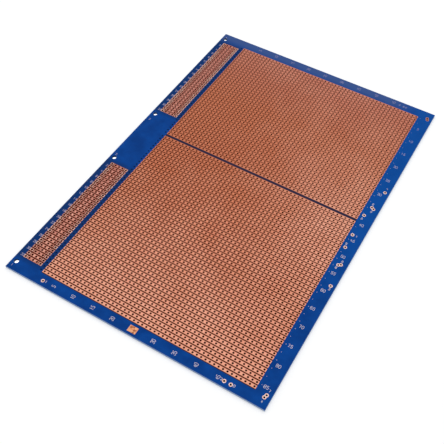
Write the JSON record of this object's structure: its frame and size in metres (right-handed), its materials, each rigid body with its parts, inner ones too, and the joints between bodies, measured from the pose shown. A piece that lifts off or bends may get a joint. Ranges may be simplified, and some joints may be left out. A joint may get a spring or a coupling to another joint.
{
  "type": "prototype circuit board",
  "caption": "Flat bare stripboard with long parallel copper strips in two fields, two rows-of-lands areas for edge connectors, a blue solder mask and plain laminate underneath.",
  "frame": {"origin": "centre of the underside", "axes": "+X from the connector edge to the front-panel edge, +Y along the board's longest side towards the upper strips, +Z out of the copper face"},
  "size_m": [0.16, 0.2334, 0.0015],
  "materials": {
    "laminate": "glass-epoxy sheet, satin, with a faint weave",
    "solder_mask": "blue lacquer, semi-gloss",
    "copper": "bare copper, satin, slightly uneven in tone"
  },
  "bodies": {
    "root": {"laminate": "laminate", "solder_mask": "solder_mask", "lower_strips": "copper", "upper_strips": "copper", "lower_connector_lands": "copper", "upper_connector_lands": "copper", "ring_pads": "copper", "copper_patch": "copper"}
  },
  "joints": []
}
